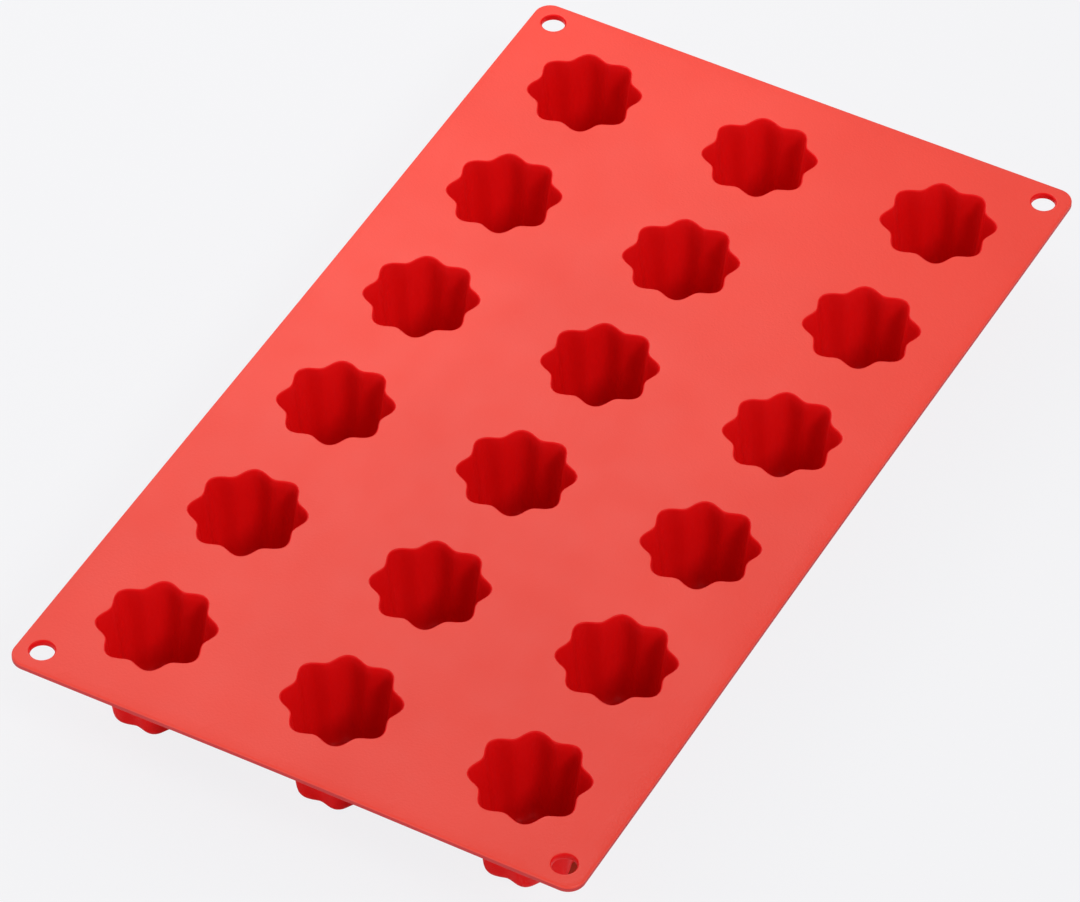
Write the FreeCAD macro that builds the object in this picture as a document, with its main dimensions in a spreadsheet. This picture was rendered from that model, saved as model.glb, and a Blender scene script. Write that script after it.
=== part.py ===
"""Canele mould: one sheet of moulded silicone with a grid of fluted, tapered wells and a hole in each corner.

Millimetres, +Z up. X runs along the long side and Y along the short side. The origin is at the middle of
the footprint, on the plane that the flat bottoms of the wells stand on, and the face of the sheet is on top.

A well is a wavy outline that shrinks with depth. The radius of that outline is a mean plus a cosine wave,
one wave to a lobe, and the lower outlines are the same one at a smaller scale. Five flat facets to a lobe
follow the wave to about a tenth of a millimetre, so that the many fluted walls stay light.
"""
import FreeCAD, Part
import math
import os

import Sketcher

SIZES = {
    # grid of wells
    "well_columns": 6,
    "well_rows": 3,
    "column_pitch": 48.2,
    "row_pitch": 56.75,
    # sheet that carries them, its margin measured from the centres of the outer wells
    "edge_margin": 29.5,
    "sheet_thickness": 2.2,
    "corner_radius": 5.0,
    "edge_bevel": 0.5,
    "mould_height": 30.0,
    # hole in each corner, its centre measured from both edges
    "hole_radius": 3.4,
    "hole_inset": 7.3,
    # fluted hollow of a well
    "lobe_count": 8,
    "mouth_radius": 15.4,
    "flute_wave": 1.19,
    "wall_taper": 7.2,
    "hollow_bevel_height": 2.8,
    "hollow_bevel_inset": 2.1,
    # silicone round the hollow
    "wall_thickness": 1.8,
    "floor_thickness": 1.8,
    "foot_round_height": 4.3,
    "foot_round_inset": 4.3,
}

# Corners of the facets along one wave, in degrees from its crest: three round the crest, two in the valley.
WAVE_PHASES = (-155, -45, 0, 45, 155)
# Share of the foot's rounding, in from the side and up from below, at the corner between its two facets.
ROUND_CORNER = 1 - math.sqrt(0.5)
# Half the sheet's length and width, which follow from the grid of wells and the margin round it.
HALF_LENGTH = "(Sizes.column_pitch * (Sizes.well_columns - 1) / 2 + Sizes.edge_margin)"
HALF_WIDTH = "(Sizes.row_pitch * (Sizes.well_rows - 1) / 2 + Sizes.edge_margin)"
# An edge that rises by less than this lies level.
LEVEL = 0.01


def make_spreadsheet(doc):
    """One row to a size: its name, and its number under the same name as alias."""
    sheet = doc.addObject("Spreadsheet::Sheet", "Sizes")
    for row, (alias, value) in enumerate(SIZES.items(), start=1):
        sheet.set(f"A{row}", alias)
        sheet.set(f"B{row}", str(value))
        sheet.setAlias(f"B{row}", alias)
    doc.recompute()
    return sheet


def half_sizes():
    """Half the sheet's length and width as numbers, for the first places of sketched lines."""
    half_length = SIZES["column_pitch"] * (SIZES["well_columns"] - 1) / 2 + SIZES["edge_margin"]
    half_width = SIZES["row_pitch"] * (SIZES["well_rows"] - 1) / 2 + SIZES["edge_margin"]
    return half_length, half_width


def sketch_at(body, name, height):
    """A sketch parallel to the body's base plane, at a height given as a formula of the sizes."""
    base_plane = next(f for f in body.Origin.OriginFeatures if f.Role == "XY_Plane")
    sketch = body.newObject("Sketcher::SketchObject", name)
    sketch.AttachmentSupport = [(base_plane, "")]
    sketch.MapMode = "FlatFace"
    sketch.setExpression("AttachmentOffset.Base.z", height)
    return sketch


def constrain(sketch, kind, *where, name=None, formula=None):
    """One constraint, bound to a formula of the sizes where one is given."""
    index = sketch.addConstraint(Sketcher.Constraint(kind, *where))
    if name:
        sketch.renameConstraint(index, name)
    if formula:
        sketch.setExpression(f"Constraints[{index}]", formula)


def sheet_outline(body, height):
    """The rounded rectangle of the sheet: four sides joined by four tangent corner arcs."""
    x, y = half_sizes()
    r = SIZES["corner_radius"]
    sketch = sketch_at(body, "sheet_outline", height)

    # Counterclockwise from the lower side: even numbers are the sides, odd ones the arcs that follow them.
    ends = [
        ((r - x, -y), (x - r, -y)),
        ((x, r - y), (x, y - r)),
        ((x - r, y), (r - x, y)),
        ((-x, y - r), (-x, r - y)),
    ]
    centres = [(x - r, r - y), (x - r, y - r), (r - x, y - r), (r - x, r - y)]
    for quarter, ((start, end), centre) in enumerate(zip(ends, centres)):
        side = Part.LineSegment(FreeCAD.Vector(*start, 0), FreeCAD.Vector(*end, 0))
        circle = Part.Circle(FreeCAD.Vector(*centre, 0), FreeCAD.Vector(0, 0, 1), r)
        first = math.radians(90 * (quarter - 1))
        sketch.addGeometry(side, False)
        sketch.addGeometry(Part.ArcOfCircle(circle, first, first + math.pi / 2), False)
    for side in (0, 2, 4, 6):
        arc, following = side + 1, (side + 2) % 8
        constrain(sketch, "Tangent", side, 2, arc, 1)
        constrain(sketch, "Tangent", arc, 2, following, 1)
    for side, direction in ((0, "Horizontal"), (2, "Vertical"), (4, "Horizontal"), (6, "Vertical")):
        constrain(sketch, direction, side)
    for arc in (3, 5, 7):
        constrain(sketch, "Equal", 1, arc)
    constrain(sketch, "Radius", 1, r, formula="Sizes.corner_radius")
    constrain(sketch, "DistanceX", -1, 1, 2, 1, x, formula=HALF_LENGTH)
    constrain(sketch, "DistanceX", 6, 1, -1, 1, x, formula=HALF_LENGTH)
    constrain(sketch, "DistanceY", -1, 1, 4, 1, y, formula=HALF_WIDTH)
    constrain(sketch, "DistanceY", 0, 1, -1, 1, y, formula=HALF_WIDTH)
    return sketch


def corner_hole_circles(body, height):
    """One circle in each corner, the same distance in from both edges."""
    half_length, half_width = half_sizes()
    x, y = half_length - SIZES["hole_inset"], half_width - SIZES["hole_inset"]
    r = SIZES["hole_radius"]
    sketch = sketch_at(body, "corner_hole_circles", height)
    for sign_x, sign_y in ((1, 1), (-1, 1), (-1, -1), (1, -1)):
        centre = FreeCAD.Vector(sign_x * x, sign_y * y, 0)
        circle = sketch.addGeometry(Part.Circle(centre, FreeCAD.Vector(0, 0, 1), r), False)
        constrain(sketch, "Radius", circle, r, formula="Sizes.hole_radius")
        along = f"{sign_x} * ({HALF_LENGTH} - Sizes.hole_inset)"
        across = f"{sign_y} * ({HALF_WIDTH} - Sizes.hole_inset)"
        constrain(sketch, "DistanceX", -1, 1, circle, 3, sign_x * x, formula=along)
        constrain(sketch, "DistanceY", -1, 1, circle, 3, sign_y * y, formula=across)
    return sketch


def make_sheet_body(doc):
    """The flat sheet with its corner holes, and a small bevel along its outline and the rims of the holes."""
    body = doc.addObject("PartDesign::Body", "sheet_body")
    underside = "Sizes.mould_height - Sizes.sheet_thickness"

    slab = body.newObject("PartDesign::Pad", "sheet_slab")
    slab.Profile = sheet_outline(body, underside)
    slab.setExpression("Length", "Sizes.sheet_thickness")
    doc.recompute()
    slab_volume = slab.Shape.Volume

    holes = body.newObject("PartDesign::Pocket", "corner_holes")
    holes.Profile = corner_hole_circles(body, "Sizes.mould_height")
    holes.Type = "ThroughAll"
    doc.recompute()
    if holes.Shape.Volume >= slab_volume:
        raise RuntimeError("the corner holes cut nothing from the sheet")

    rims = [
        f"Edge{number}"
        for number, edge in enumerate(holes.Shape.Edges, start=1)
        if edge.BoundBox.ZLength < LEVEL
    ]
    bevel = body.newObject("PartDesign::Chamfer", "edge_bevels")
    bevel.Base = (holes, rims)
    bevel.setExpression("Size", "Sizes.edge_bevel")
    body.Tip = bevel
    doc.recompute()
    return body


def wavy_outline(body, name, height, mouth, scale):
    """The wavy outline of a well at one height, a polygon whose corners lie on three circles.

    The circles go through the crests, the shoulders beside them and the edges of the valleys. Their radii are
    named constraints, bound to the sizes, and the corners take their places from those names.
    """
    circles = {0: "crest", 45: "shoulder", 155: "valley"}
    sketch = sketch_at(body, name, height)
    for phase, circle_name in circles.items():
        wave = f"Sizes.flute_wave * cos({phase} deg)"
        guide = Part.Circle(FreeCAD.Vector(), FreeCAD.Vector(0, 0, 1), SIZES["mouth_radius"])
        circle = sketch.addGeometry(guide, True)
        constrain(sketch, "Coincident", circle, 3, -1, 1)
        formula = f"(({mouth}) + {wave}) * ({scale})"
        constrain(sketch, "Radius", circle, SIZES["mouth_radius"], name=circle_name, formula=formula)

    step = 360 / SIZES["lobe_count"]
    corners = [
        (circles[abs(phase)], step * (lobe + 0.5) + phase / SIZES["lobe_count"])
        for lobe in range(SIZES["lobe_count"])
        for phase in WAVE_PHASES
    ]
    radius_of = {name: sketch.getDatum(name).Value for name in circles.values()}
    ray = FreeCAD.Vector(1, 0, 0)
    points = [
        FreeCAD.Rotation(FreeCAD.Vector(0, 0, 1), angle).multVec(ray * radius_of[on]) for on, angle in corners
    ]
    first = len(circles)
    sketch.addGeometry([Part.LineSegment(a, b) for a, b in zip(points, points[1:] + points[:1])], False)
    for number, ((on, angle), point) in enumerate(zip(corners, points)):
        line, previous = first + number, first + (number - 1) % len(points)
        constrain(sketch, "Coincident", previous, 2, line, 1)
        along, across = (f".Constraints.{on} * {turn}({angle} deg)" for turn in ("cos", "sin"))
        constrain(sketch, "DistanceX", -1, 1, line, 1, point.x, formula=along)
        constrain(sketch, "DistanceY", -1, 1, line, 1, point.y, formula=across)
    return sketch


def make_well_body(doc, name, mouth, levels):
    """A fluted, tapered solid: straight walls between like outlines, from the highest level to the lowest.

    Each level is a height and the mean radius of the outline there, as formulas of the sizes.
    """
    body = doc.addObject("PartDesign::Body", name)
    outlines = [
        wavy_outline(body, f"{name}_outline_{number}", height, mouth, f"({radius}) / ({mouth})")
        for number, (height, radius) in enumerate(levels)
    ]
    loft = body.newObject("PartDesign::AdditiveLoft", f"{name}_loft")
    loft.Profile = outlines[0]
    loft.Sections = outlines[1:]
    loft.Ruled = True
    doc.recompute()
    return body


def well_outside(doc):
    """The outside of a well, from half way up inside the sheet down to the foot, rounded by two facets."""
    mouth = "Sizes.mouth_radius + Sizes.wall_thickness"
    mid_sheet = "Sizes.mould_height - Sizes.sheet_thickness / 2"
    side = "Sizes.foot_round_height"
    side_radius = f"{mouth} - tan(Sizes.wall_taper * 1 deg) * (Sizes.mould_height - Sizes.foot_round_height)"
    levels = [
        (mid_sheet, f"{mouth} - tan(Sizes.wall_taper * 1 deg) * Sizes.sheet_thickness / 2"),
        (side, side_radius),
        (f"{ROUND_CORNER} * {side}", f"{side_radius} - {ROUND_CORNER} * Sizes.foot_round_inset"),
        ("0", f"{side_radius} - Sizes.foot_round_inset"),
    ]
    return make_well_body(doc, "well_outside", mouth, levels)


def well_hollow(doc):
    """The hollow of a well, from the face of the sheet down to the floor, with one facet round the floor."""
    mouth = "Sizes.mouth_radius"
    bevel_top = "Sizes.floor_thickness + Sizes.hollow_bevel_height"
    bevel_radius = f"{mouth} - tan(Sizes.wall_taper * 1 deg) * (Sizes.mould_height - ({bevel_top}))"
    levels = [
        ("Sizes.mould_height", mouth),
        (bevel_top, bevel_radius),
        ("Sizes.floor_thickness", f"{bevel_radius} - Sizes.hollow_bevel_inset"),
    ]
    return make_well_body(doc, "well_hollow", mouth, levels)


def flat_faced(solid):
    """The same solid on plane faces: a ruled face between two like outlines lies flat, corner to corner."""
    corners = [[vertex.Point for vertex in face.OuterWire.OrderedVertexes] for face in solid.Faces]
    shell = Part.makeShell([Part.Face(Part.makePolygon(points + points[:1])) for points in corners])
    shell.sewShape()
    flat = Part.makeSolid(shell)
    if flat.Volume < 0:
        flat.reverse()
    return flat


def make_grid(doc, sizes, name, body):
    """A copy of one well's solid at each place of the grid, which lies centred on the origin."""
    unit = flat_faced(body.Shape)
    columns, rows = int(sizes.well_columns), int(sizes.well_rows)
    copies = []
    for column in range(columns):
        for row in range(rows):
            x = (column - (columns - 1) / 2) * sizes.column_pitch
            y = (row - (rows - 1) / 2) * sizes.row_pitch
            copies.append(unit.translated(FreeCAD.Vector(x, y, 0)))
    grid = doc.addObject("Part::Feature", name)
    grid.Shape = Part.makeCompound(copies)
    return grid


def make_mould(doc, sizes):
    """The sheet and the outsides of the wells as one solid, less the hollows."""
    outsides = make_grid(doc, sizes, "well_outsides", well_outside(doc))
    hollows = make_grid(doc, sizes, "well_hollows", well_hollow(doc))
    blank = doc.addObject("Part::MultiFuse", "mould_blank")
    blank.Shapes = [make_sheet_body(doc), outsides]
    mould = doc.addObject("Part::Cut", "canele_mould")
    mould.Base = blank
    mould.Tool = hollows
    mould.Label = "canele_mould"
    doc.recompute()
    return mould


def check(doc, sub_parts):
    """Stop on a failed feature, or on a sub-part that isn't one valid solid."""
    for item in doc.Objects:
        if {"Invalid", "Error"} & set(item.State):
            raise RuntimeError(f"{item.Name} failed: {item.State}")
    for item in sub_parts:
        if item.Shape.isNull() or not item.Shape.isValid() or len(item.Shape.Solids) != 1:
            raise RuntimeError(f"{item.Label} isn't one valid solid")


def main():
    doc = FreeCAD.newDocument("canele_mould")
    sub_parts = [make_mould(doc, make_spreadsheet(doc))]
    check(doc, sub_parts)
    os.makedirs("parts", exist_ok=True)
    for item in sub_parts:
        box = item.Shape.BoundBox
        item.Shape.exportStep(f"parts/{item.Label}.step")
        print(f"{item.Label}: {box.XLength:.1f} x {box.YLength:.1f} x {box.ZLength:.1f} mm")
        print(f"{item.Label}: {item.Shape.Volume / 1000:.1f} cm3, {len(item.Shape.Faces)} faces")


main()
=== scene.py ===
"""The finished look of the canele mould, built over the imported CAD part.

The mould is one moulding of red silicone: a flat sheet with rows of fluted wells and a round hole in each corner.
Here it is one closed surface with smooth flutes, rounded lips, feet and edges, and finishes worked out from nodes.
Sizes are millimetres where a class says nothing else. Meshes are written in metres, in the frame of the part.
"""

import logging
import math
from dataclasses import dataclass, field
from enum import Enum

import bpy
import numpy as np
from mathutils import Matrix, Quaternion, Vector

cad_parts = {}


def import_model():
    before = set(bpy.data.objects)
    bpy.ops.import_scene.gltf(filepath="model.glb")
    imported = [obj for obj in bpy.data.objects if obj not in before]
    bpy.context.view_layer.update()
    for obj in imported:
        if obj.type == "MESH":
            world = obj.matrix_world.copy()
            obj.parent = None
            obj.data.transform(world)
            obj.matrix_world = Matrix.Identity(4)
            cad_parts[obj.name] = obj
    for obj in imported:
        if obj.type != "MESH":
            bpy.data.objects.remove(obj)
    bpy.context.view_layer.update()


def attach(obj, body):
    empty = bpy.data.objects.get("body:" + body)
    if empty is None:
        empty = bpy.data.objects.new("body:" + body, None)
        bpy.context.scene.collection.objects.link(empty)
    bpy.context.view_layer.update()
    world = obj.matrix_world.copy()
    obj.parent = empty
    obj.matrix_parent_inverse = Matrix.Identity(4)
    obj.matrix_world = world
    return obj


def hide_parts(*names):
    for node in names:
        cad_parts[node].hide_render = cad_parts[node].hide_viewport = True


LOG = logging.getLogger("canele_mould")
MM = 0.001
SAME_POINT = 1e-4
ARC_WEIGHT = math.sqrt(0.5)
WHOLE = (0.0, 1.0)

Colour = tuple[float, float, float]
Span = tuple[float, float]
Socket = bpy.types.NodeSocket


class Outward(Enum):
    """The side of a patch that looks away from the material, as the turn of its rows and columns."""

    ROWS_THEN_COLUMNS = 1
    COLUMNS_THEN_ROWS = -1


class Dress(Enum):
    """The finish that a face of the mesh has, as its place among the piece's materials."""

    # FACE is the matt face, lighter by a painted sheen; EDGE is the edge's lower part, darker by a painted shade.
    FACE = 0
    WELL = 1
    EDGE = 2


class Surface:
    """A surface, gathered patch by patch and joined where the patches share points."""

    def __init__(self) -> None:
        """Starts with no patches."""
        self.points: list[np.ndarray] = []
        self.quads: list[np.ndarray] = []
        self.slots: list[np.ndarray] = []
        self.count = 0

    def add(self, grid: np.ndarray, outward: Outward, dress: Dress, faced: int = 0, closed: bool = True) -> None:
        """Adds one patch, a grid of points whose neighbours are joined by four-sided faces.

        Args:
            grid: Points in rows and columns, of shape (rows, columns, 3).
            outward: Which turn of rows and columns looks away from the material.
            dress: The patch's finish.
            faced: How many of the last rows of faces have the finish of the sheet's face instead.
            closed: True where the last column is joined to the first one.
        """
        rows, columns = grid.shape[:2]
        index = np.arange(rows * columns).reshape(rows, columns) + self.count
        if closed:
            index = np.concatenate([index, index[:, :1]], axis=1)
        corners = [index[:-1, :-1], index[1:, :-1], index[1:, 1:], index[:-1, 1:]]
        if outward is Outward.COLUMNS_THEN_ROWS:
            corners.reverse()
        own = np.arange(rows - 1)[:, None] < rows - 1 - faced
        slot = np.broadcast_to(np.where(own, dress.value, Dress.FACE.value), corners[0].shape)
        self.points.append(grid.reshape(-1, 3))
        self.quads.append(np.stack(corners, axis=-1).reshape(-1, 4))
        self.slots.append(slot.reshape(-1))
        self.count += rows * columns

    def joined(self) -> tuple[np.ndarray, np.ndarray]:
        """Makes points that share a place one point.

        Returns:
            The points, of shape (n, 3), and the faces, of shape (m, 4), which name the points.
        """
        points = np.concatenate(self.points)
        keys = np.round(points / SAME_POINT).astype(np.int64)
        _, first, place = np.unique(keys, axis=0, return_index=True, return_inverse=True)
        return points[first], place.reshape(-1)[np.concatenate(self.quads)]

    def shape(self, name: str, points: np.ndarray, quads: np.ndarray) -> bpy.types.Object:
        """Writes points and faces into a smooth object. A face with a repeated corner becomes a triangle.

        Args:
            name: The object's name.
            points: Points of shape (n, 3).
            quads: Faces of shape (m, 4), in the order in which the patches were added.

        Returns:
            The new object, at the origin, with its place in its mesh.
        """
        distinct = quads != np.roll(quads, 1, axis=1)
        corner_counts = distinct.sum(axis=1)
        corners = quads[distinct]
        starts = np.concatenate([[0], np.cumsum(corner_counts)[:-1]])
        mesh = bpy.data.meshes.new(name)
        mesh.vertices.add(len(points))
        mesh.vertices.foreach_set("co", (points * MM).astype(np.float32).ravel())
        mesh.loops.add(len(corners))
        mesh.loops.foreach_set("vertex_index", corners.astype(np.int32))
        mesh.polygons.add(len(quads))
        mesh.polygons.foreach_set("loop_start", starts.astype(np.int32))
        mesh.polygons.foreach_set("use_smooth", np.ones(len(quads), dtype=bool))
        mesh.polygons.foreach_set("material_index", np.concatenate(self.slots).astype(np.int32))
        mesh.update(calc_edges=True)
        mesh.validate()
        shaped = bpy.data.objects.new(name, mesh)
        bpy.context.scene.collection.objects.link(shaped)
        return shaped


def rounded(start: np.ndarray, corner: np.ndarray, end: np.ndarray, spans: int) -> np.ndarray:
    """Rounds a corner with an arc that touches both of its legs.

    The arc is a weighted mean of start, corner and end. The weights are (1-t) squared, t(1-t) times the root of
    two, and t squared, which gives a quarter of an ellipse at a right angle and leans with the legs at any other.

    Args:
        start: The point where the first leg ends.
        corner: The point where the legs would meet.
        end: The point where the second leg begins.
        spans: How many spans the arc has.

    Returns:
        Points of shape (spans + 1, k), from start to end.
    """
    t = np.linspace(0.0, 1.0, spans + 1)[:, None]
    weights = (1 - t) ** 2, 2 * ARC_WEIGHT * t * (1 - t), t**2
    return (weights[0] * start + weights[1] * corner + weights[2] * end) / sum(weights)


def straight(start: np.ndarray, end: np.ndarray, spans: int) -> np.ndarray:
    """Divides a straight run into even spans and leaves out both of its ends.

    Args:
        start: The first end.
        end: The other end.
        spans: How many spans the run has.

    Returns:
        The spans - 1 points between the ends.
    """
    t = np.linspace(0.0, 1.0, spans + 1)[1:-1, None]
    return (1 - t) * start + t * end


def turns(count: int) -> np.ndarray:
    """Gives the angles of so many even steps once round."""
    return np.linspace(0.0, 2 * np.pi, count, endpoint=False)


def at_height(flat: np.ndarray, height: float | np.ndarray) -> np.ndarray:
    """Lifts points of shape (..., 2) to one height, or each to its own, and returns them with shape (..., 3)."""
    return np.concatenate([flat, np.broadcast_to(height, (*flat.shape[:-1], 1))], axis=-1)


@dataclass(frozen=True)
class FlutedWell:
    """One well: a fluted, tapered cup below the sheet, with its hollow and its outside.

    A level of a well is a ring round its axis. It is given by three numbers: the mean radius of the fluted
    outline, how far the ring stands out square to that outline, and the height.
    """

    points_round: int = 112
    lobes: int = 8
    face_height: float = 30.0
    sheet_thickness: float = 2.2
    mouth_radius: float = 15.2
    mouth_wave: float = 1.19
    outer_radius: float = 17.2
    outer_wave: float = 1.07
    taper: float = math.tan(math.radians(7.2))
    floor: float = 1.8
    lip: float = 0.35
    hollow_round: Span = (2.4, 2.8)
    foot_round: Span = (4.1, 4.3)
    fillet: float = 0.8
    collar: float = 0.3
    floor_spans: int = 2
    round_spans: int = 6
    wall_spans: int = 5
    lip_spans: int = 4
    fillet_spans: int = 3

    @property
    def under(self) -> float:
        """Height of the sheet's underside."""
        return self.face_height - self.sheet_thickness

    @property
    def lean(self) -> np.ndarray:
        """What a wall's level gains for each millimetre of height."""
        return np.array([self.taper, 0.0, 1.0])

    def ring(self, level: np.ndarray, wave_share: float) -> np.ndarray:
        """Draws the rings of some levels, round the well's axis.

        The fluted outline is the mean radius less a cosine that has one wave for each lobe. The wave grows with
        the radius. A ring is that outline moved square to itself, along its outward direction, which is the
        radial direction turned by the outline's slope.

        Args:
            level: Mean radius, standing out and height, of shape (rows, 3).
            wave_share: The height of the wave, as a share of the mean radius.

        Returns:
            Points of shape (rows, points_round, 3).
        """
        mean, out, height = (column[:, None] for column in level.T)
        angle = turns(self.points_round)[None, :]
        swing = wave_share * mean
        radius = mean - swing * np.cos(self.lobes * angle)
        slope = swing * self.lobes * np.sin(self.lobes * angle)
        length = np.maximum(np.hypot(radius, slope), SAME_POINT)
        along, across = out * radius / length, -out * slope / length
        x = (radius + along) * np.cos(angle) - across * np.sin(angle)
        y = (radius + along) * np.sin(angle) + across * np.cos(angle)
        return at_height(np.stack([x, y], axis=-1), height[..., None])

    def hollow(self) -> np.ndarray:
        """Carries the hollow's profile round the well, from the middle of its floor to the flat beyond its lip.

        The floor is flat, an arc joins it to the tapered wall, and an arc turns the wall over into the face.

        Returns:
            Points of shape (rows, points_round, 3).
        """
        mouth = np.array([self.mouth_radius, 0.0, self.face_height])
        low_corner = mouth - self.lean * (self.face_height - self.floor)
        wall_foot = low_corner + self.lean * self.hollow_round[1]
        floor_rim = low_corner - [self.hollow_round[0], 0.0, 0.0]
        lip_foot = mouth - self.lean * self.lip
        lip_top = mouth + [0.0, self.lip, 0.0]
        middle = np.array([0.0, 0.0, self.floor])
        rows = [
            middle,
            straight(middle, floor_rim, self.floor_spans),
            rounded(floor_rim, low_corner, wall_foot, self.round_spans),
            straight(wall_foot, lip_foot, self.wall_spans),
            rounded(lip_foot, mouth, lip_top, self.lip_spans),
            lip_top + [0.0, self.collar, 0.0],
        ]
        return self.ring(np.vstack(rows), self.mouth_wave / self.mouth_radius)

    def outside(self) -> np.ndarray:
        """Carries the outside's profile round the well, from the middle of its foot to the flat of the underside.

        The foot is flat, a long arc joins it to the tapered wall, and a fillet joins the wall to the underside.

        Returns:
            Points of shape (rows, points_round, 3).
        """
        foot_corner = np.array([self.outer_radius - self.taper * self.face_height, 0.0, 0.0])
        wall_foot = foot_corner + self.lean * self.foot_round[1]
        foot_rim = foot_corner - [self.foot_round[0], 0.0, 0.0]
        shoulder = foot_corner + self.lean * self.under
        fillet_foot = shoulder - self.lean * self.fillet
        fillet_top = shoulder + [0.0, self.fillet, 0.0]
        middle = np.zeros(3)
        rows = [
            middle,
            straight(middle, foot_rim, self.floor_spans),
            rounded(foot_rim, foot_corner, wall_foot, self.round_spans),
            straight(wall_foot, fillet_foot, self.wall_spans),
            rounded(fillet_foot, shoulder, fillet_top, self.fillet_spans),
            fillet_top + [0.0, self.collar, 0.0],
        ]
        return self.ring(np.vstack(rows), self.outer_wave / self.outer_radius)


@dataclass(frozen=True)
class CornerHole:
    """The round hole in a corner of the sheet, with rounded edges above and below."""

    radius: float = 3.4
    inset: float = 7.3
    edge: float = 0.6
    collar: float = 0.3
    points_round: int = 56
    edge_spans: int = 4

    def circles(self, level: np.ndarray) -> np.ndarray:
        """Draws circles round the hole's axis.

        Args:
            level: Radius and height of each circle, of shape (rows, 2).

        Returns:
            Points of shape (rows, points_round, 3).
        """
        angle = turns(self.points_round)
        unit = np.stack([np.cos(angle), np.sin(angle)], axis=-1)
        return at_height(level[:, :1, None] * unit[None], level[:, 1:, None])

    def bore(self, under: float, face: float) -> np.ndarray:
        """Carries the bore's profile round the hole, from its lower edge up to the flat beyond its upper edge.

        Args:
            under: Height of the sheet's underside.
            face: Height of the sheet's face.

        Returns:
            Points of shape (rows, points_round, 3).
        """
        outer, wall, turn = self.radius + self.edge, self.radius, np.array([0.0, self.edge])
        low, high = np.array([wall, under]), np.array([wall, face])
        rows = [
            rounded(np.array([outer, under]), low, low + turn, self.edge_spans),
            rounded(high - turn, high, np.array([outer, face]), self.edge_spans),
            np.array([[outer + self.collar, face]]),
        ]
        return self.circles(np.vstack(rows))

    def collar_below(self, under: float) -> np.ndarray:
        """Draws the narrow flat ring round the hole's lower edge."""
        outer = self.radius + self.edge
        return self.circles(np.array([[outer, under], [outer + self.collar, under]]))


class NodeDesk:
    """Lays out and joins the nodes of one material or world."""

    def __init__(self, owner: bpy.types.Material | bpy.types.World) -> None:
        """Clears the node tree of a material or a world and takes it over.

        Args:
            owner: The material or world to work on.
        """
        owner.use_nodes = True
        self.tree = owner.node_tree
        self.tree.nodes.clear()
        kind = "ShaderNodeOutputWorld" if isinstance(owner, bpy.types.World) else "ShaderNodeOutputMaterial"
        self.output = self.add(kind)

    def add(self, kind: str) -> bpy.types.Node:
        """Adds a node of the named kind and returns it."""
        return self.tree.nodes.new(kind)

    def link(self, source: Socket, target: Socket) -> None:
        """Joins an output to an input."""
        self.tree.links.new(source, target)

    def finish(self, shader: Socket) -> None:
        """Joins the last shader to the output."""
        self.link(shader, self.output.inputs["Surface"])

    def place(self) -> Socket:
        """Gives the coordinate on the object, in metres."""
        return self.add("ShaderNodeTexCoord").outputs["Object"]

    def noise(self, place: Socket, waves: float, detail: float) -> Socket:
        """Adds a noise on a coordinate.

        Args:
            place: The coordinate.
            waves: How many waves it has to a metre.
            detail: How much detail lies on the waves.

        Returns:
            The noise's value.
        """
        node = self.add("ShaderNodeTexNoise")
        node.inputs["Scale"].default_value = waves
        node.inputs["Detail"].default_value = detail
        self.link(place, node.inputs["Vector"])
        return node.outputs["Fac"]

    def ramp(self, value: Socket, span: Span, low: Colour, high: Colour) -> Socket:
        """Turns a value into a colour between two colours.

        Args:
            value: The value to turn.
            span: The values at which the low and the high colour are reached.
            low: The colour below the span.
            high: The colour above it.

        Returns:
            The colour.
        """
        node = self.add("ShaderNodeValToRGB")
        first, last = node.color_ramp.elements
        first.position, last.position = span
        first.color, last.color = (*low, 1.0), (*high, 1.0)
        self.link(value, node.inputs["Fac"])
        return node.outputs["Color"]

    def ranged(self, value: Socket, source: Span, target: Span) -> Socket:
        """Moves a value from one range into another.

        Args:
            value: The value to move.
            source: The range that it has.
            target: The range that it gets.

        Returns:
            The new value.
        """
        node = self.add("ShaderNodeMapRange")
        ends = dict(zip(("From Min", "From Max", "To Min", "To Max"), (*source, *target)))
        for name, number in ends.items():
            node.inputs[name].default_value = number
        self.link(value, node.inputs["Value"])
        return node.outputs["Result"]

    def bump(self, height: Socket, depth: float, under: Socket | None = None) -> Socket:
        """Adds a bump, over an earlier one if that is given.

        Args:
            height: The height, from 0 to 1.
            depth: What a height of 1 is.
            under: The normal of the bump below.

        Returns:
            The normal.
        """
        node = self.add("ShaderNodeBump")
        node.inputs["Distance"].default_value = depth * MM
        node.inputs["Strength"].default_value = 1.0
        self.link(height, node.inputs["Height"])
        if under is not None:
            self.link(under, node.inputs["Normal"])
        return node.outputs["Normal"]

    def sum_up(self, operation: str, *values: Socket | float) -> Socket:
        """Works out one value from others.

        Args:
            operation: The kind of sum, in capitals.
            values: Outputs to join, or plain numbers.

        Returns:
            The result.
        """
        node = self.add("ShaderNodeMath")
        node.operation = operation
        for target, value in zip(node.inputs, values):
            if isinstance(value, float):
                target.default_value = value
            else:
                self.link(value, target)
        return node.outputs[0]

    def mixed(self, share: Socket, first: Socket, second: Socket) -> Socket:
        """Mixes two shaders.

        Args:
            share: The share of the second one.
            first: The first shader.
            second: The second shader.

        Returns:
            The mixed shader.
        """
        node = self.add("ShaderNodeMixShader")
        for target, source in zip(node.inputs, (share, first, second)):
            self.link(source, target)
        return node.outputs[0]


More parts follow.
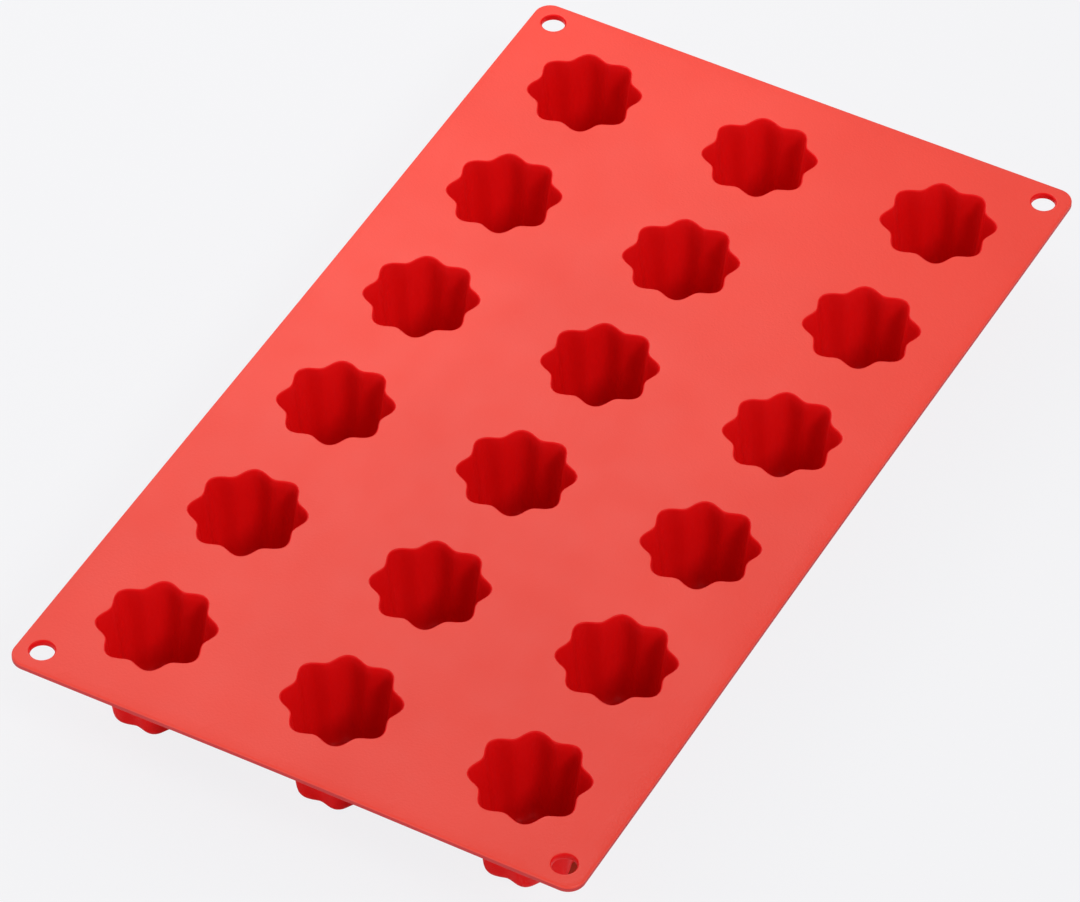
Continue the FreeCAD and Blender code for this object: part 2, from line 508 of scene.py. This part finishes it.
@dataclass(frozen=True)
class SiliconeFinish:
    """Pigmented silicone rubber: two near reds in broad clouds, a satin gloss that varies, and a fine grain.

    Clouds, smudges, ripple and grain are noises, each with its waves to a metre and its detail.
    """

    name: str
    deep: Colour
    fresh: Colour
    satin: Span
    specular_level: float
    subsurface: float
    clouds: Span = (14.0, 3.0)
    cloud_span: Span = (0.35, 0.65)
    smudges: Span = (70.0, 4.0)
    smudge_span: Span = (0.3, 0.7)
    ripple: Span = (21.0, 1.0)
    ripple_depth: float = 0.6
    grain: Span = (1500.0, 2.0)
    grain_depth: float = 0.06
    refraction: float = 1.43
    bleed: Colour = (1.0, 0.08, 0.06)
    bleed_depth: float = 3.0

    def material(self) -> bpy.types.Material:
        """Builds the finish from noise on Object coordinates.

        Broad clouds mix the two reds, a finer noise moves the roughness between its two ends, and two bumps, a
        broad ripple and a fine grain, break up the gloss. Light bleeds a little way through the rubber.

        Returns:
            The material.
        """
        material = bpy.data.materials.new(self.name)
        desk = NodeDesk(material)
        place = desk.place()
        red = desk.ramp(desk.noise(place, *self.clouds), self.cloud_span, self.deep, self.fresh)
        satin = desk.ranged(desk.noise(place, *self.smudges), self.smudge_span, self.satin)
        broad = desk.bump(desk.noise(place, *self.ripple), self.ripple_depth)
        fine = desk.bump(desk.noise(place, *self.grain), self.grain_depth, broad)
        shader = desk.add("ShaderNodeBsdfPrincipled")
        shader.inputs["IOR"].default_value = self.refraction
        shader.inputs["Specular IOR Level"].default_value = self.specular_level
        shader.inputs["Subsurface Weight"].default_value = self.subsurface
        shader.inputs["Subsurface Radius"].default_value = self.bleed
        shader.inputs["Subsurface Scale"].default_value = self.bleed_depth * MM
        desk.link(red, shader.inputs["Base Color"])
        desk.link(satin, shader.inputs["Roughness"])
        desk.link(fine, shader.inputs["Normal"])
        desk.finish(shader.outputs["BSDF"])
        return material


@dataclass(frozen=True)
class CaneleMould:
    """The mould: the flat sheet, its wells and its corner holes, as one closed surface.

    The two slow waves by which the sheet lies uneven are given by their turn along half the length, their turn
    across half the width, and their start, in radians.
    """

    columns: int = 6
    rows: int = 3
    pitch: Span = (48.2, 56.75)
    margin: float = 29.5
    corner_radius: float = 5.0
    edge: float = 0.6
    edge_spans: int = 4
    face_spans: int = 4
    under_spans: int = 2
    corner_spans: int = 3
    sag: float = 0.3
    long_wave: tuple[float, float, float] = (5.2, 0.8, 0.7)
    cross_wave: tuple[float, float, float] = (0.0, 3.1, -0.4)
    side_power: int = 3
    end_power: int = 5
    well: FlutedWell = field(default_factory=FlutedWell)
    hole: CornerHole = field(default_factory=CornerHole)
    # The face's lighter, salmon red is partly its matt finish and partly a painted sheen: the whitish reflection
    # of the bright surroundings, put in the colour. The wells keep the plain deep red.
    face_matt_and_sheen_finish: SiliconeFinish = SiliconeFinish(
        "silicone_face_matt_and_painted_sheen", (0.75, 0.045, 0.026), (0.80, 0.054, 0.033), (0.40, 0.48), 0.4, 0.1
    )
    well_finish: SiliconeFinish = SiliconeFinish(
        "silicone_well", (0.68, 0.003, 0.004), (0.74, 0.005, 0.006), (0.38, 0.48), 0.14, 0.35
    )
    # Painted shade: the darker red of the edge's lower arc and upright stands in for the shade under the sheet's
    # edge.
    edge_painted_shade_finish: SiliconeFinish = SiliconeFinish(
        "silicone_edge_painted_shade", (0.51, 0.040, 0.041), (0.56, 0.047, 0.048), (0.38, 0.48), 0.14, 0.1
    )

    @property
    def half(self) -> np.ndarray:
        """Half the sheet's length and width."""
        return (np.array([self.columns, self.rows]) - 1) * self.pitch / 2 + self.margin

    @property
    def face(self) -> float:
        """Height of the sheet's face."""
        return self.well.face_height

    @property
    def under(self) -> float:
        """Height of the sheet's underside."""
        return self.well.under

    def centre(self, column: int, row: int) -> np.ndarray:
        """The place of a well's axis, counted from the corner with the lowest x and y."""
        steps = np.array([column, row]) - (np.array([self.columns, self.rows]) - 1) / 2
        return steps * self.pitch

    def sides(self, column: int, row: int) -> list[bool]:
        """Which sides of a well's cell lie on the sheet's outline: high x, high y, low x, low y."""
        return [column == self.columns - 1, row == self.rows - 1, column == 0, row == 0]

    def reach(self, column: int, row: int) -> np.ndarray:
        """How far a well's cell reaches to lower and higher x and y: half a pitch, or to the edge's rounding.

        Args:
            column: The well's column.
            row: The well's row.

        Returns:
            Reaches of shape (2, 2): lower and higher, for x and for y.
        """
        higher_and_lower = np.array(self.sides(column, row)).reshape(2, 2)
        return np.where(higher_and_lower[::-1], self.margin - self.edge, np.array(self.pitch) / 2)

    def border(self, reach: np.ndarray) -> np.ndarray:
        """Draws a cell's border round its well.

        Each ray from the axis is cut off at a square, which is then stretched to the cell's reach on each side,
        so that neighbours have the same points on the side that they share.

        Args:
            reach: What reach() gives.

        Returns:
            Points of shape (points_round, 2), about the well's axis.
        """
        angle = turns(self.well.points_round)
        ray = np.stack([np.cos(angle), np.sin(angle)], axis=1)
        square = ray / np.abs(ray).max(axis=1, keepdims=True)
        return square * np.where(square < 0, reach[0], reach[1])

    def notched_border(self) -> np.ndarray:
        """Draws the border of the cell in the corner of high x and y, which leaves a square round the hole.

        The border is a line through the ends of its legs, each leg with the same number of even spans, and the
        plain border on the two sides that other cells share.

        Returns:
            Points of shape (points_round, 2), about the well's axis.
        """
        border = self.border(self.reach(self.columns - 1, self.rows - 1))
        leg = self.well.points_round // 8
        edge, inner = self.margin - self.edge, self.margin - 2 * self.hole.inset
        ends = np.array([-1, 0, 1, 2, 3]) * leg
        x = [edge, edge, inner, inner, -self.pitch[0] / 2]
        y = [-self.pitch[1] / 2, inner, inner, edge, edge]
        places = np.arange(-leg, 3 * leg + 1)
        border[places] = np.stack([np.interp(places, ends, x), np.interp(places, ends, y)], axis=1)
        return border

    def hole_border(self) -> np.ndarray:
        """Draws the border of the square round the hole in the corner of high x and y.

        Two sides are shared with the well's cell. The other two follow the sheet's edge: even spans along the
        straight part and even turns round the corner.

        Returns:
            Points of shape (hole.points_round, 2), about the hole's axis.
        """
        side = self.hole.points_round // 4
        inset, edge = self.hole.inset, self.hole.inset - self.edge
        bend = inset - self.corner_radius
        turn = np.linspace(0.0, np.pi / 2, side + 1)
        arc = bend + (self.corner_radius - self.edge) * np.stack([np.cos(turn), np.sin(turn)], axis=1)
        half_side = side // 2
        right = np.stack([np.full(half_side, edge), np.linspace(-inset, bend, half_side, endpoint=False)], axis=1)
        top = right[::-1, ::-1]
        left_x = np.full(side, -inset)
        left = np.stack([left_x, np.linspace(edge, -inset, side + 1)[1:]], axis=1)
        bottom = np.stack([np.linspace(-inset, edge, side + 1)[1:-1], left_x[1:]], axis=1)
        path = np.concatenate([right, arc, top, left, bottom])
        return np.roll(path, -half_side, axis=0)

    def edge_strip(self, path: np.ndarray) -> np.ndarray:
        """Carries the sheet's edge along a piece of its outline, from the underside up to the face.

        The profile is an arc, a short upright and an arc. It stands out from the path along the direction away
        from the nearest point of the rectangle on which the corners' arcs are centred.

        Args:
            path: Points of shape (n, 2) where the face ends, about the sheet's middle.

        Returns:
            Points of shape (rows, n, 3).
        """
        core = self.half - self.corner_radius
        off_core = path - np.clip(path, -core, core)
        off_core /= np.linalg.norm(off_core, axis=1, keepdims=True)
        top, bottom = np.array([self.edge, self.face]), np.array([self.edge, self.under])
        turn = np.array([0.0, self.edge])
        profile = np.vstack([
            rounded(np.array([0.0, self.under]), bottom, bottom + turn, self.edge_spans),
            rounded(top - turn, top, np.array([0.0, self.face]), self.edge_spans),
        ])
        return at_height(path[None] + profile[:, :1, None] * off_core[None], profile[:, 1:, None])

    @staticmethod
    def apron(inner: np.ndarray, border: np.ndarray, spans: int) -> np.ndarray:
        """Fills the flat between a ring and a border by going straight from each point to its partner.

        Args:
            inner: The ring, of shape (n, 3).
            border: The border, of shape (n, 3).
            spans: How many spans lie between them.

        Returns:
            Points of shape (spans, n, 3), without the ring itself.
        """
        t = np.linspace(0.0, 1.0, spans + 1)[1:, None, None]
        return (1 - t) * inner[None] + t * border[None]

    def add_cell(self, surface: Surface, border: np.ndarray, centre: np.ndarray, mirror: np.ndarray) -> None:
        """Adds one well with its share of the sheet, above and below.

        The sheet's face begins with the flat beyond the well's lip. The underside has the finish of the wells.

        Args:
            surface: The surface to add to.
            border: The cell's border about the well's axis.
            centre: The place of the well's axis.
            mirror: 1 or -1 for x and for y.
        """
        for rings, height, spans, outward, faced in (
            (self.well.hollow(), self.face, self.face_spans, Outward.ROWS_THEN_COLUMNS, self.face_spans + 1),
            (self.well.outside(), self.under, self.under_spans, Outward.COLUMNS_THEN_ROWS, 0),
        ):
            grid = np.concatenate([rings, self.apron(rings[-1], at_height(border, height), spans)])
            self.add_mirrored(surface, grid + [*centre, 0.0], outward, mirror, Dress.WELL, faced)

    def add_hole(self, surface: Surface, mirror: np.ndarray) -> None:
        """Adds one corner hole with the square of sheet round it, above and below, and its edge.

        The sheet's face begins with the last span of the bore's upper edge.

        Args:
            surface: The surface to add to.
            mirror: 1 or -1 for x and for y, which says which corner it is.
        """
        centre, border = self.half - self.hole.inset, self.hole_border()
        bore, collar = self.hole.bore(self.under, self.face), self.hole.collar_below(self.under)
        for rings, height, outward, faced in (
            (bore, self.face, Outward.ROWS_THEN_COLUMNS, self.corner_spans + 2),
            (collar, self.under, Outward.COLUMNS_THEN_ROWS, 0),
        ):
            grid = np.concatenate([rings, self.apron(rings[-1], at_height(border, height), self.corner_spans)])
            self.add_mirrored(surface, grid + [*centre, 0.0], outward, mirror, Dress.WELL, faced)
        side = self.hole.points_round // 4
        outer = np.take(border, np.arange(-side // 2, 3 * side // 2 + 1), axis=0, mode="wrap") + centre
        self.add_edge(surface, outer, mirror)

    def add_edge(self, surface: Surface, path: np.ndarray, mirror: np.ndarray) -> None:
        """Adds the edge along one piece of the outline. Its upper arc has the finish of the face, the rest the
        edge's painted shade.

        Args:
            surface: The surface to add to.
            path: The piece of the outline.
            mirror: 1 or -1 for x and for y.
        """
        strip, faced = self.edge_strip(path), self.edge_spans
        self.add_mirrored(surface, strip, Outward.COLUMNS_THEN_ROWS, mirror, Dress.EDGE, faced, closed=False)

    @staticmethod
    def add_mirrored(
        surface: Surface,
        grid: np.ndarray,
        outward: Outward,
        mirror: np.ndarray,
        dress: Dress,
        faced: int,
        closed: bool = True,
    ) -> None:
        """Adds a patch, mirrored about the sheet's middle planes, with its faces turned where that needs it.

        Args:
            surface: The surface to add to.
            grid: The patch.
            outward: The outward turn of the patch before it is mirrored.
            mirror: 1 or -1 for x and for y.
            dress: The patch's finish.
            faced: How many of the last rows of faces have the finish of the sheet's face instead.
            closed: True where the last column is joined to the first one.
        """
        turned = Outward(outward.value * int(mirror[0] * mirror[1]))
        surface.add(grid * [*mirror, 1.0], turned, dress, faced, closed)

    def relaxed(self, points: np.ndarray) -> np.ndarray:
        """Lets the sheet lie a little unevenly, as a soft moulding does.

        The face drops by a slow wave along the length and another across the width, never above its level. The
        drop shrinks towards the feet, which stay on the floor. The long and short edges draw in by a slow wave.

        Args:
            points: Points of shape (n, 3).

        Returns:
            The moved points.
        """
        along, across = (points[:, :2] / self.half).T
        waves = [
            np.cos(length * along + width * across + start)
            for length, width, start in (self.long_wave, self.cross_wave)
        ]
        drop = (2 - sum(waves)) / 4
        inward, sideways = (1 + np.cos(np.pi * along)) / 2, (1 + np.cos(np.pi * across)) / 2
        moved = points.copy()
        moved[:, 2] -= self.sag * drop * points[:, 2] / self.face
        moved[:, 1] -= self.sag * inward * across**self.side_power
        moved[:, 0] -= self.sag * sideways * along**self.end_power
        return moved

    def build(self) -> bpy.types.Object:
        """Builds the mould's surface and dresses it.

        Returns:
            The finished piece.
        """
        surface, unturned = Surface(), np.array([1, 1])
        for column in range(self.columns):
            for row in range(self.rows):
                outer_sides = sum(self.sides(column, row))
                if outer_sides > 1:
                    continue
                border, centre = self.border(self.reach(column, row)), self.centre(column, row)
                self.add_cell(surface, border, centre, unturned)
                if outer_sides:
                    self.add_edge(surface, self.outer_side(border, column, row) + centre, unturned)
        self.add_corners(surface)
        points, quads = surface.joined()
        mould = surface.shape("silicone_mould", self.relaxed(points), quads)
        for finish in (self.face_matt_and_sheen_finish, self.well_finish, self.edge_painted_shade_finish):
            mould.data.materials.append(finish.material())
        return mould

    def outer_side(self, border: np.ndarray, column: int, row: int) -> np.ndarray:
        """Picks the points of a cell's border that lie on the sheet's outline, in their order round the sheet.

        Args:
            border: The cell's border.
            column: The cell's column.
            row: The cell's row.

        Returns:
            Points of shape (n, 2).
        """
        eighth = self.well.points_round // 8
        quarter = self.sides(column, row).index(True)
        places = np.arange(-eighth, eighth + 1) + 2 * eighth * quarter
        return np.take(border, places, axis=0, mode="wrap")

    def add_corners(self, surface: Surface) -> None:
        """Adds the four corners: each has a notched cell, a hole and its piece of the edge.

        Args:
            surface: The surface to add to.
        """
        border, centre = self.notched_border(), self.centre(self.columns - 1, self.rows - 1)
        leg = self.well.points_round // 8
        lower = np.take(border, np.arange(-leg, 1), axis=0, mode="wrap") + centre
        upper = border[2 * leg : 3 * leg + 1] + centre
        for mirror in (np.array([x, y]) for x in (1, -1) for y in (1, -1)):
            self.add_cell(surface, border, centre, mirror)
            self.add_hole(surface, mirror)
            self.add_edge(surface, lower, mirror)
            self.add_edge(surface, upper, mirror)


@dataclass(frozen=True)
class PaperFinish:
    """The pale floor: white paper that keeps the object's shadow and looks plain to the camera, with a painted
    dark red shadow round the foot of each well.

    The shades are spans of distances over which they end: from the axis of a well, and from the sheet's middle
    in x and in y.
    """

    name: str = "floor_paper"
    paper: Colour = (0.87, 0.87, 0.885)
    painted_foot_shadow: Colour = (0.36, 0.035, 0.02)
    backdrop: Colour = (0.905, 0.905, 0.922)
    evenness: float = 0.93
    wells: tuple[int, int] = (CaneleMould.columns, CaneleMould.rows)
    pitch: Span = CaneleMould.pitch
    foot_shade: Span = (14.0, 16.5)
    sheet_shade: tuple[Span, Span] = ((85.0, 126.0), (30.0, 73.5))
    last_shade: tuple[Span, Span] = ((123.0, 126.0), (70.5, 73.5))

    @staticmethod
    def past(desk: NodeDesk, axes: list[Socket], spans: tuple[Span, Span]) -> Socket:
        """Rises from 0 to 1 with the distance from the middle, in x or in y, whichever has risen further.

        Args:
            desk: Where the nodes go.
            axes: The coordinates x and y.
            spans: The distances over which it rises, in x and in y.

        Returns:
            The value.
        """
        rises = [
            desk.ranged(desk.sum_up("ABSOLUTE", axis), (start * MM, end * MM), WHOLE)
            for axis, (start, end) in zip(axes, spans)
        ]
        return desk.sum_up("MAXIMUM", *rises)

    def off_feet(self, desk: NodeDesk, axes: list[Socket]) -> Socket:
        """Is 0 round the foot of each well, where the paper has its painted shadow, and 1 elsewhere.

        The nearest axis of a well is found by folding the floor at half a pitch. An even number of wells has no
        axis in the middle, so there the fold is moved by half a pitch.

        Args:
            desk: Where the nodes go.
            axes: The coordinates x and y.

        Returns:
            The value.
        """
        squares = []
        for axis, count, pitch in zip(axes, self.wells, self.pitch):
            half = pitch * MM / 2
            shifted = desk.sum_up("ADD", axis, half * (1 - count % 2))
            folded = desk.sum_up("WRAP", shifted, half, -half)
            squares.append(desk.sum_up("MULTIPLY", folded, folded))
        distance = desk.sum_up("SQRT", desk.sum_up("ADD", *squares))
        span = tuple(end * MM for end in self.foot_shade)
        return desk.sum_up("MAXIMUM", desk.ranged(distance, span, WHOLE), self.past(desk, axes, self.last_shade))

    def material(self) -> bpy.types.Material:
        """Mixes matt paper with the plain backdrop colour, which only the camera sees.

        Under the sheet the plain colour fades out towards the middle, so the place keeps its shadow. Round each
        foot there is none, and the paper's colour there is a painted shadow, dark red as if light came through the
        red rubber.

        Returns:
            The material.
        """
        material = bpy.data.materials.new(self.name)
        desk = NodeDesk(material)
        split = desk.add("ShaderNodeSeparateXYZ")
        desk.link(desk.place(), split.inputs[0])
        axes = list(split.outputs)[:2]
        off_feet = self.off_feet(desk, axes)
        paper, plain = desk.add("ShaderNodeBsdfDiffuse"), desk.add("ShaderNodeEmission")
        # Painted shadow: round each foot the paper's colour turns dark red.
        desk.link(desk.ramp(off_feet, WHOLE, self.painted_foot_shadow, self.paper), paper.inputs["Color"])
        plain.inputs["Color"].default_value = (*self.backdrop, 1.0)
        lit = desk.sum_up("MULTIPLY", self.past(desk, axes, self.sheet_shade), off_feet)
        seen = desk.add("ShaderNodeLightPath").outputs["Is Camera Ray"]
        share = desk.sum_up("MULTIPLY", seen, desk.sum_up("MULTIPLY", lit, self.evenness))
        desk.finish(desk.mixed(share, paper.outputs[0], plain.outputs[0]))
        return material


@dataclass(frozen=True)
class Lamp:
    """A square soft light that looks at the frame's origin from a distance. Distance and size are metres."""

    name: str
    azimuth: float
    elevation: float
    distance: float
    size: float
    power: float

    def build(self) -> bpy.types.Object:
        """Hangs the lamp, out of the camera's sight.

        Returns:
            The lamp.
        """
        data = bpy.data.lights.new(self.name, "AREA")
        data.shape, data.size, data.energy = "SQUARE", self.size, self.power
        lamp = bpy.data.objects.new(self.name, data)
        lamp.visible_camera = False
        back = away(self.azimuth, self.elevation)
        lamp.location = back * self.distance
        lamp.rotation_mode = "QUATERNION"
        lamp.rotation_quaternion = back.to_track_quat("Z", "Y")
        bpy.context.scene.collection.objects.link(lamp)
        return lamp


@dataclass(frozen=True)
class Viewpoint:
    """The photograph's camera: a long lens that looks down at the mould from over one of its short ends."""

    aim: tuple[float, float, float] = (-13.627, -1.573, 30.0)
    azimuth: float = -61.713
    elevation: float = 45.120
    distance: float = 1950.61
    roll: float = 0.333
    lens: float = 237.897
    sensor: float = 36.0
    clip: Span = (50.0, 50000.0)

    def build(self) -> bpy.types.Object:
        """Sets up the camera.

        Returns:
            The camera.
        """
        data = bpy.data.cameras.new("camera")
        data.lens, data.sensor_width = self.lens, self.sensor
        data.clip_start, data.clip_end = (reach * MM for reach in self.clip)
        camera = bpy.data.objects.new("camera", data)
        back = away(self.azimuth, self.elevation)
        camera.location = (Vector(self.aim) + back * self.distance) * MM
        camera.rotation_mode = "QUATERNION"
        turn = Quaternion((0.0, 0.0, 1.0), math.radians(self.roll))
        camera.rotation_quaternion = back.to_track_quat("Z", "Y") @ turn
        bpy.context.scene.collection.objects.link(camera)
        bpy.context.scene.camera = camera
        return camera


@dataclass(frozen=True)
class Studio:
    """The plain pale floor, the soft lamps, the even light all round and the camera."""

    floor_half: float = 4000.0
    floor_gap: float = 0.2
    floor_spans: int = 8
    surround: float = 0.46
    paper: PaperFinish = field(default_factory=PaperFinish)
    viewpoint: Viewpoint = field(default_factory=Viewpoint)
    lamps: tuple[Lamp, ...] = (
        Lamp("key_lamp", -20.0, 45.0, 8.0, 2.2, 270.0),
        Lamp("side_lamp", 180.0, 40.0, 0.6, 0.4, 0.77),
        Lamp("back_lamp", 128.0, 50.0, 0.4, 0.25, 0.41),
        Lamp("front_lamp", -105.0, 4.0, 1.5, 0.16, 4.0),
    )

    def build(self) -> None:
        """Builds the floor, the light all round, the camera and the lamps."""
        self.floor()
        self.world()
        self.viewpoint.build()
        for lamp in self.lamps:
            lamp.build()

    def floor(self) -> bpy.types.Object:
        """Lays the floor just under the feet, as a grid of even squares.

        Returns:
            The floor.
        """
        span = np.linspace(-self.floor_half, self.floor_half, self.floor_spans + 1)
        flat = np.stack(np.meshgrid(span, span, indexing="ij"), axis=-1)
        surface = Surface()
        surface.add(at_height(flat, -self.floor_gap), Outward.ROWS_THEN_COLUMNS, Dress.FACE, closed=False)
        floor = surface.shape("floor", *surface.joined())
        floor.data.materials.append(self.paper.material())
        return floor

    def world(self) -> None:
        """Gives even white light from all round. The camera and reflections see the backdrop's colour there."""
        world = bpy.data.worlds.new("surround")
        bpy.context.scene.world = world
        desk = NodeDesk(world)
        light, plain = desk.add("ShaderNodeBackground"), desk.add("ShaderNodeBackground")
        light.inputs["Color"].default_value = (1.0, 1.0, 1.0, 1.0)
        light.inputs["Strength"].default_value = self.surround
        plain.inputs["Color"].default_value = (*self.paper.backdrop, 1.0)
        path = desk.add("ShaderNodeLightPath").outputs
        bent = desk.sum_up("MAXIMUM", path["Is Glossy Ray"], path["Is Transmission Ray"])
        seen = desk.sum_up("MAXIMUM", path["Is Camera Ray"], bent)
        desk.finish(desk.mixed(seen, light.outputs[0], plain.outputs[0]))


def away(azimuth: float, elevation: float) -> Vector:
    """Gives the direction from the object to a lamp or camera.

    Azimuth 0 stands on the side of low y, 90 on the side of high x, and elevation is above the floor.

    Args:
        azimuth: Degrees round the object.
        elevation: Degrees above the floor.

    Returns:
        The direction, of length 1.
    """
    turn, rise = math.radians(azimuth), math.radians(elevation)
    return Vector((math.sin(turn) * math.cos(rise), -math.cos(turn) * math.cos(rise), math.sin(rise)))


def main() -> None:
    """Loads the part, builds the mould and the studio, and notes how many faces the mould has."""
    logging.basicConfig(level=logging.INFO, format="%(message)s")
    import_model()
    mould = CaneleMould().build()
    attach(mould, "root")
    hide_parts("canele_mould")
    LOG.info("%s: %d faces", mould.name, len(mould.data.polygons))
    bpy.context.scene.view_settings.view_transform = "Standard"
    Studio().build()
    LOG.info("studio: floor, lamps and camera")


if __name__ == "__main__":
    main()
